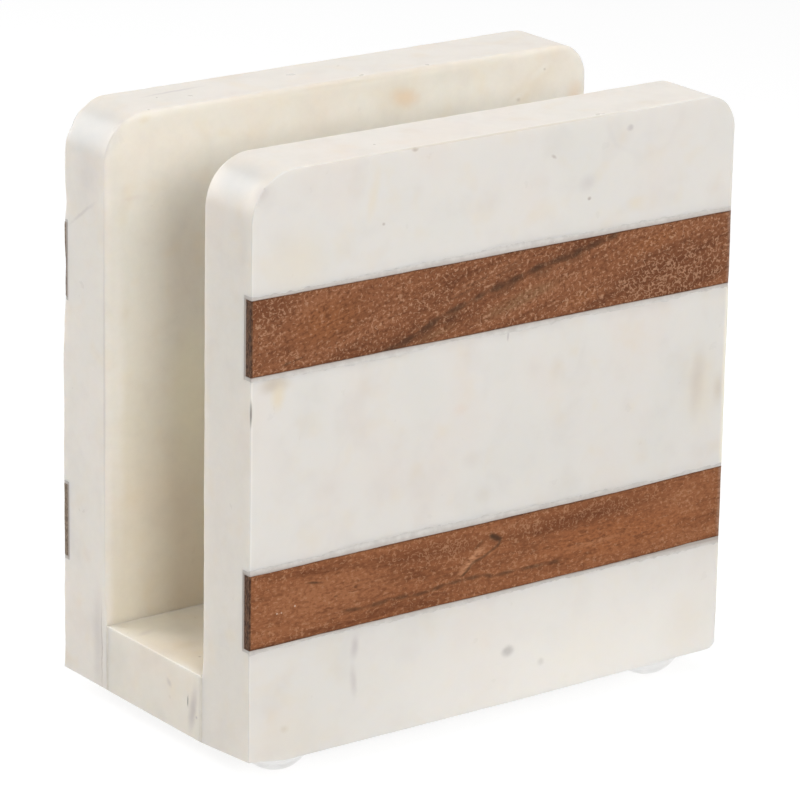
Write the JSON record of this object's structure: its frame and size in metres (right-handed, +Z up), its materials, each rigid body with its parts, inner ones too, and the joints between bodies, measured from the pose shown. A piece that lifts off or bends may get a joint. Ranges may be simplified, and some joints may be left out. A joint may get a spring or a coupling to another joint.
{
  "type": "napkin holder",
  "caption": "Upright marble napkin holder: stone slabs glued to a base slab form an open slot, with wooden strips let flush into the outer faces and clear domed feet.",
  "frame": {"origin": "on the ground plane under the middle of the overall box, where the feet's small flats touch the table", "axes": "+Z up, +X along the wooden strips and the napkin slot towards the right end seen from the front, -Y towards the front face"},
  "size_m": [0.142, 0.0798, 0.1469],
  "materials": {
    "marble": "honed ivory white marble with faint veins",
    "wood": "sanded red-brown hardwood, open pores filled with stone dust",
    "epoxy": "grey stone epoxy, ground flush",
    "clear_rubber": "clear soft polyurethane"
  },
  "bodies": {
    "root": {"front_slab": "marble", "rear_slab": "marble", "base_slab": "marble", "front_base_joint_epoxy": "epoxy", "rear_base_joint_epoxy": "epoxy", "front_upper_strip": "wood", "front_lower_strip": "wood", "rear_upper_strip": "wood", "rear_lower_strip": "wood", "front_upper_strip_epoxy": "epoxy", "front_lower_strip_epoxy": "epoxy", "rear_upper_strip_epoxy": "epoxy", "rear_lower_strip_epoxy": "epoxy", "front_left_foot": "clear_rubber", "front_right_foot": "clear_rubber", "rear_left_foot": "clear_rubber", "rear_right_foot": "clear_rubber"}
  },
  "joints": []
}
